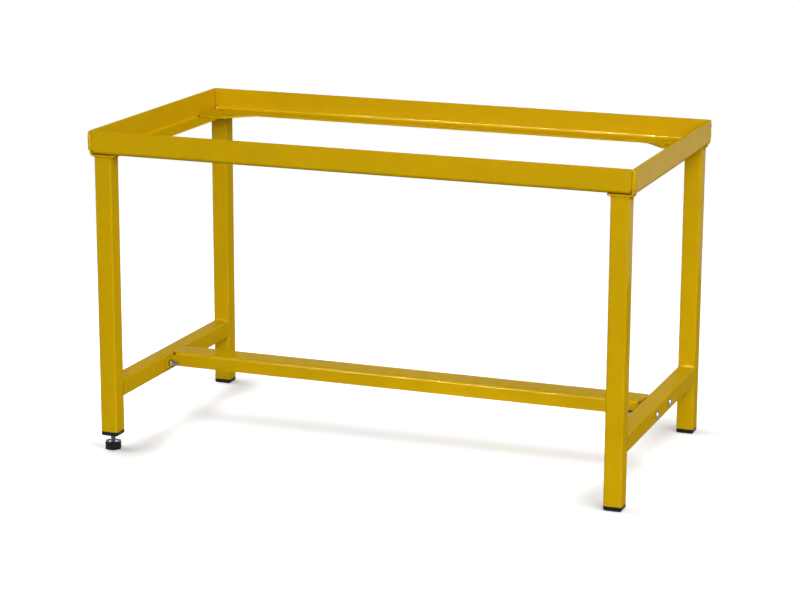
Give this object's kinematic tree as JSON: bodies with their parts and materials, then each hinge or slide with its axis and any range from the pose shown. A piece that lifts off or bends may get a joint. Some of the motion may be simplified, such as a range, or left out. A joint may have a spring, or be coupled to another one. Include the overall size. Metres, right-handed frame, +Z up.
{
  "type": "tool chest stand",
  "caption": "Steel floor stand with a shallow tray of folded angles that holds a tool chest, square tube legs, a bolted low stretcher and a screw foot for levelling.",
  "frame": {"origin": "on the floor below the middle of the tray", "axes": "+X along the tray to the right, +Y from the front to the rear, +Z up"},
  "size_m": [0.93, 0.49, 0.55],
  "materials": {
    "frame_paint": "glossy yellow powder coat",
    "zinc": "bright zinc plate",
    "black_plastic": "satin black"
  },
  "bodies": {
    "frame": {"front_rail": "frame_paint", "rear_rail": "frame_paint", "left_end_rail": "frame_paint", "right_end_rail": "frame_paint", "front_left_leg": "frame_paint", "front_right_leg": "frame_paint", "rear_left_leg": "frame_paint", "rear_right_leg": "frame_paint", "left_cross_rail": "frame_paint", "right_cross_rail": "frame_paint", "stretcher": "frame_paint", "left_front_bolt": "zinc", "left_rear_bolt": "zinc", "right_front_bolt": "zinc", "right_rear_bolt": "zinc", "left_front_nut": "zinc", "left_rear_nut": "zinc", "right_front_nut": "zinc", "right_rear_nut": "zinc", "front_right_foot_cap": "black_plastic", "rear_left_foot_cap": "black_plastic", "rear_right_foot_cap": "black_plastic", "threaded_insert": "black_plastic", "insert_nut": "zinc"},
    "stud": {"levelling_stud": "zinc"},
    "base": {"levelling_base": "black_plastic"}
  },
  "joints": [
    {"name": "foot_height", "type": "slide", "parent": "frame", "child": "stud", "axis": [0, 0, 1], "range_m": [-0.015, 0.01]},
    {"name": "foot_turn", "type": "hinge", "parent": "stud", "child": "base", "pos_m": [-0.443, -0.228, 0], "axis": [0, 0, 1], "range_deg": [-4325, 2885]}
  ],
  "couplings": [
    {"joint": "foot_turn", "follows": "foot_height", "rad_per_m": 5026.5}
  ]
}
